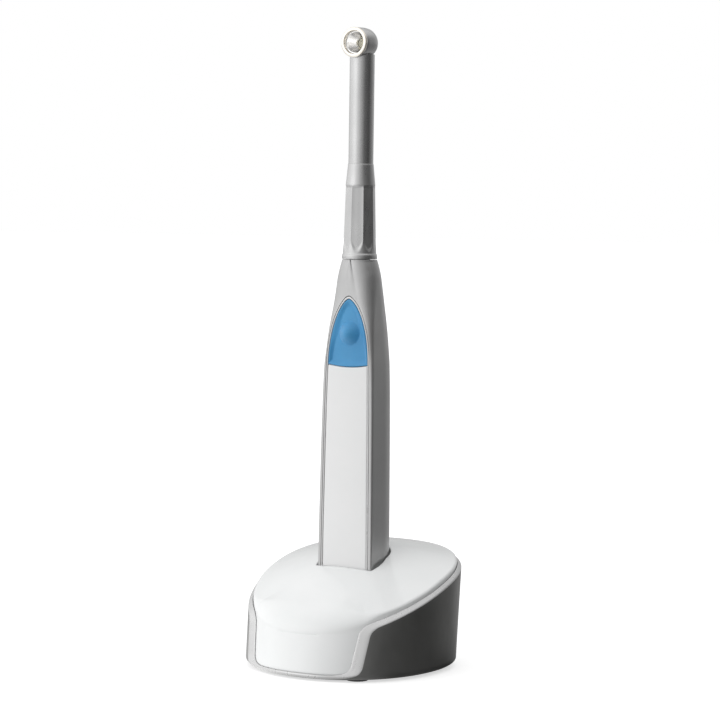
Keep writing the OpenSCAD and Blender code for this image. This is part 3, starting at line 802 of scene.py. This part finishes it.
def corner_r(a):
    return 0.9 + (CREST_R - 0.9) * float(ramp((SHOULDER[0] + 5 - edge_y(a)) / 14))


def dome_z(a, s):
    rim = rim_z(edge_y(a))
    return rim_z(s * edge_y(a)) + CROWN * (1 - s**2.2) + s**6 * (edge_z(a) - rim)


def cover_point(a, run, inset, drop):
    """A point on the cover: run goes up the wall, then over the edge and inwards."""
    r = max(0.3, corner_r(a) - drop)
    top = edge_z(a) - drop - r
    reach = np.linalg.norm(plan(a, top, 0))
    if run <= top:
        return (*plan(a, run, inset + foot_inset(run)), run)
    beyond = run - top
    if beyond < r * math.pi / 2:
        q = beyond / r
        i = inset + r * (1 - math.cos(q))
        return (*plan(a, top, i), dome_z(a, 1 - i / reach) - drop - r * (1 - math.sin(q)))
    inner = plan(a, top, inset + r)
    share = 1 - (beyond - r * math.pi / 2) / np.linalg.norm(inner)
    s = (1 - (inset + r) / reach) * share
    return (inner[0] * share, inner[1] * share, dome_z(a, s) - drop)


SOCKET_GAP = 0.55


def socket_radius(direction):
    half = half_section(20, SOCKET_GAP)
    ring = np.concatenate([half, half[-2:0:-1] * [-1, 1]])
    angles = np.arctan2(ring[:, 1], ring[:, 0])
    order = np.argsort(angles)
    return float(np.interp(direction, angles[order], np.linalg.norm(ring, axis=1)[order], period=2 * math.pi))


def run_to_socket(a, inset, drop, margin):
    r = max(0.3, corner_r(a) - drop)
    top = edge_z(a) - drop - r
    inner = plan(a, top, inset + r)
    hole = socket_radius(math.atan2(inner[1], inner[0])) + margin
    return top + r * math.pi / 2 + np.linalg.norm(inner) - hole


def cover_rows(inset, drop, offset, margin, shares, spread_out):
    start = rim_curve(inset, offset)
    rows = []
    for t in shares:
        row = []
        for (x, y, z, a), extra in zip(start, spread_out):
            angle = a + extra * t
            run = z + (run_to_socket(a + extra, inset, drop, margin) - z) * t
            row.append(cover_point(angle, run, inset, drop))
        rows.append(np.array(row))
    return rows


def build_cover():
    spread_out = fan(12.0, -7.0)
    edge_shares = np.linspace(0, 0.06, 10)[:-1]
    shares = np.concatenate([edge_shares, np.linspace(0.06, 0.5, 46)[:-1], np.linspace(0.5, 1, 24)])
    outer = cover_rows(COVER_IN, 0.0, 0.75, 0.45, shares, spread_out)
    last = outer[-1]
    hole = []
    for inward, down in ((0.2, 0.04), (0.35, 0.15), (0.43, 0.32), (0.45, 0.6), (0.45, 2.6), (0.45, 4.6)):
        row = last.copy()
        length = np.linalg.norm(row[:, :2], axis=1)
        row[:, :2] *= ((length - inward) / length)[:, None]
        row[:, 2] -= down
        hole.append(row)
    inner = cover_rows(SHELL_IN, 2.2, 0.75, 1.4, np.linspace(0, 1, 20), spread_out)[::-1]
    rows = outer + hole + inner
    grid = np.array([whole_ring(r) for r in rows])
    white = MATERIALS["white_cover"]
    piece = grid_object("white_top_cover", grid, white, wrap_rows=True, sharp=50, body="charger")
    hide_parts("top_cover")


build_handle_shell()
build_trim()
build_panel()
build_button_skin()
build_collar()
build_head()
build_base_shell()
build_cover()


# ---------------------------------------------------------------- floor, light and camera
# Brightness of the studio by angle in degrees from the camera's side; plus is to the camera's right.
# Surfaces see this graded studio. The camera itself sees a plain white floor and background.
STUDIO = ((-180, 0.5), (-110, 1.3), (-60, 1.7), (-25, 1.0), (2, 0.55), (30, 0.15), (75, 0.08), (105, 0.3),
          (140, 0.6), (180, 0.5))
OVERHEAD = 1.1
FLOOR_HALF = 30.0
FLOOR_GLOW, FLOOR_BOUNCE = 0.62, 0.7
LENS_MM, SENSOR_MM = 120.0, 36.0


def studio_glow(tree, vector):
    """Colour of the studio in a direction: a lit left side, a dark right side."""
    parts = tree.nodes.new("ShaderNodeSeparateXYZ")
    tree.links.new(vector, parts.inputs[0])
    angle = tree.nodes.new("ShaderNodeMath")
    angle.operation = "ARCTAN2"
    tree.links.new(parts.outputs["Y"], angle.inputs[0])
    tree.links.new(parts.outputs["X"], angle.inputs[1])
    turned = tree.nodes.new("ShaderNodeMath")
    turned.operation = "MULTIPLY_ADD"
    turned.inputs[1].default_value = 0.5 / math.pi
    turned.inputs[2].default_value = (90 - CAMERA_AZ) / 360 + 0.5
    tree.links.new(angle.outputs[0], turned.inputs[0])
    wrapped = tree.nodes.new("ShaderNodeMath")
    wrapped.operation = "FRACT"
    tree.links.new(turned.outputs[0], wrapped.inputs[0])
    ramp_node = tree.nodes.new("ShaderNodeValToRGB")
    ramp_node.color_ramp.interpolation = "EASE"
    stops = ramp_node.color_ramp.elements
    while len(stops) < len(STUDIO):
        stops.new(0.5)
    for stop, (degrees, level) in zip(stops, STUDIO):
        stop.position = (degrees + 180) / 360
        stop.color = (level, level, level, 1)
    tree.links.new(wrapped.outputs[0], ramp_node.inputs[0])
    return ramp_node.outputs["Color"], parts.outputs["Z"]


def build_stage():
    size = FLOOR_HALF
    mesh = bpy.data.meshes.new("floor")
    corners = [(-size, -size, 0), (size, -size, 0), (size, size, 0), (-size, size, 0)]
    mesh.from_pydata(corners, [], [(0, 1, 2, 3)])
    floor = bpy.data.objects.new("floor", mesh)
    bpy.context.scene.collection.objects.link(floor)
    material, tree, shader, place = nodes_of("floor_pale")
    shader.inputs["Base Color"].default_value = (0.6, 0.6, 0.6, 1)
    shader.inputs["Roughness"].default_value = 0.9
    shader.inputs["Specular IOR Level"].default_value = 0.1
    shader.inputs["Emission Color"].default_value = (1, 1, 1, 1)
    shader.inputs["Emission Strength"].default_value = FLOOR_GLOW
    glow, _ = studio_glow(tree, place.outputs["Object"])
    dim = tree.nodes.new("ShaderNodeEmission")
    dim.inputs["Strength"].default_value = FLOOR_BOUNCE
    tree.links.new(glow, dim.inputs["Color"])
    path = tree.nodes.new("ShaderNodeLightPath")
    mix = tree.nodes.new("ShaderNodeMixShader")
    tree.links.new(path.outputs["Is Camera Ray"], mix.inputs[0])
    tree.links.new(dim.outputs[0], mix.inputs[1])
    tree.links.new(shader.outputs[0], mix.inputs[2])
    end = next(n for n in tree.nodes if n.type == "OUTPUT_MATERIAL")
    tree.links.new(mix.outputs[0], end.inputs["Surface"])
    mesh.materials.append(material)


def build_lights():
    world = bpy.data.worlds.new("studio")
    bpy.context.scene.world = world
    world.use_nodes = True
    tree = world.node_tree
    back = tree.nodes["Background"]
    place = tree.nodes.new("ShaderNodeTexCoord")
    glow, height = studio_glow(tree, place.outputs["Generated"])
    above = tree.nodes.new("ShaderNodeMapRange")
    above.interpolation_type = "SMOOTHSTEP"
    above.inputs["From Min"].default_value = 0.35
    above.inputs["From Max"].default_value = 0.85
    tree.links.new(height, above.inputs["Value"])
    sky = tree.nodes.new("ShaderNodeMix")
    sky.data_type = "RGBA"
    sky.inputs[7].default_value = (OVERHEAD, OVERHEAD, OVERHEAD, 1)
    tree.links.new(above.outputs["Result"], sky.inputs[0])
    tree.links.new(glow, sky.inputs[6])
    path = tree.nodes.new("ShaderNodeLightPath")
    seen = tree.nodes.new("ShaderNodeMix")
    seen.data_type = "RGBA"
    seen.inputs[7].default_value = (1, 1, 1, 1)
    tree.links.new(path.outputs["Is Camera Ray"], seen.inputs[0])
    tree.links.new(sky.outputs[2], seen.inputs[6])
    tree.links.new(seen.outputs[2], back.inputs["Color"])


CAMERA_AZ, CAMERA_PITCH, CAMERA_ROLL = 33.36, 3.16, 0.82
CAMERA_DISTANCE, CAMERA_HEIGHT, CAMERA_SIDE = 0.9, 0.1643, 0.00073


def build_camera():
    data = bpy.data.cameras.new("camera")
    data.lens = LENS_MM
    data.sensor_width = SENSOR_MM
    camera = bpy.data.objects.new("camera", data)
    a = math.radians(CAMERA_AZ)
    right = Vector((math.cos(a), math.sin(a), 0))
    away = Vector((math.sin(a), -math.cos(a), 0))
    camera.location = away * CAMERA_DISTANCE + right * CAMERA_SIDE + Vector((0, AXIS_Y * MM, CAMERA_HEIGHT))
    pitch = math.radians(CAMERA_PITCH)
    look = -away * math.cos(pitch) - Vector((0, 0, math.sin(pitch)))
    turn = look.to_track_quat("-Z", "Y").to_matrix() @ Matrix.Rotation(math.radians(CAMERA_ROLL), 3, "Z")
    camera.rotation_mode = "QUATERNION"
    camera.rotation_quaternion = turn.to_quaternion()
    bpy.context.scene.collection.objects.link(camera)
    bpy.context.scene.camera = camera
    bpy.context.scene.view_settings.view_transform = "Standard"


build_stage()
build_lights()
build_camera()
